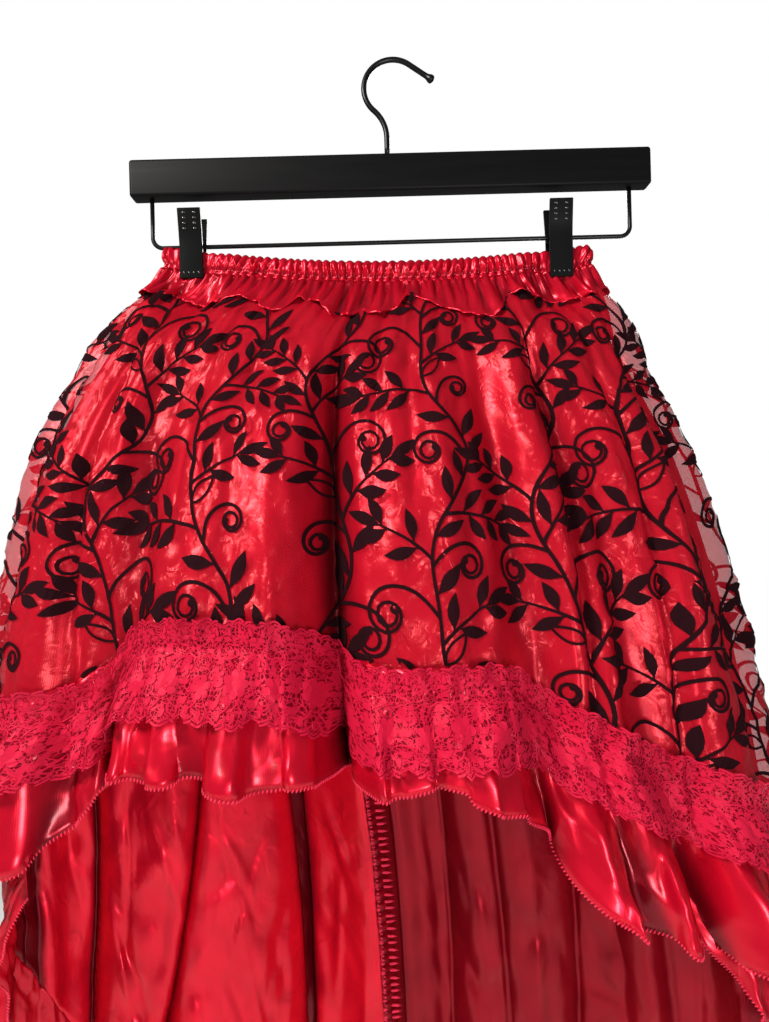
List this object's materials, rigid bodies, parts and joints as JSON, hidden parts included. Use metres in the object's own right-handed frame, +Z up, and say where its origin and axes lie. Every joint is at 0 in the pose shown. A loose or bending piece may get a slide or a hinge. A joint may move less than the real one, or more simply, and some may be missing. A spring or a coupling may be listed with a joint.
{
  "type": "high-low skirt on a clip hanger",
  "caption": "High-low skirt with a sheer vine overlay, lace and ruffles, hung by clips from a wooden hanger whose hook holds it.",
  "frame": {"origin": "the seat of the hook: the point inside the top of its bend that rests on a nail or rod", "axes": "+Z up, -Y toward the front of the skirt and the viewer, +X to the viewer's right along the hanger bar"},
  "size_m": [0.5801, 0.2828, 1.0453],
  "materials": {
    "satin": "bright red polyester satin with a strong soft sheen",
    "organza": "sheer red organza with a black flocked leaf and scroll vine",
    "lace": "matt crimson scalloped lace, two edges, gathered",
    "black_wood": "black lacquered beech, satin",
    "black_wire": "black coated steel wire",
    "black_plastic": "moulded black plastic",
    "spring_steel": "bright spring wire"
  },
  "bodies": {
    "root": {"waist_casing_front": "satin", "waist_casing_back": "satin", "yoke_front": "satin", "yoke_back": "satin", "overlay_front": "organza", "overlay_back_right": "organza", "overlay_back_left": "organza", "lace_trim": "lace", "overlay_ruffle_front": "satin", "overlay_ruffle_back_right": "satin", "overlay_ruffle_back_left": "satin", "underskirt_front": "satin", "underskirt_back_right": "satin", "underskirt_back_left": "satin", "train_ruffle_right": "satin", "train_ruffle_left": "satin", "back_seam_allowance": "satin", "hanger_bar": "black_wood", "hook": "black_wire", "clip_rail": "black_wire", "clip_left_front_jaw": "black_plastic", "clip_left_back_jaw": "black_plastic", "clip_left_spring": "spring_steel", "clip_right_front_jaw": "black_plastic", "clip_right_back_jaw": "black_plastic", "clip_right_spring": "spring_steel"}
  },
  "joints": []
}
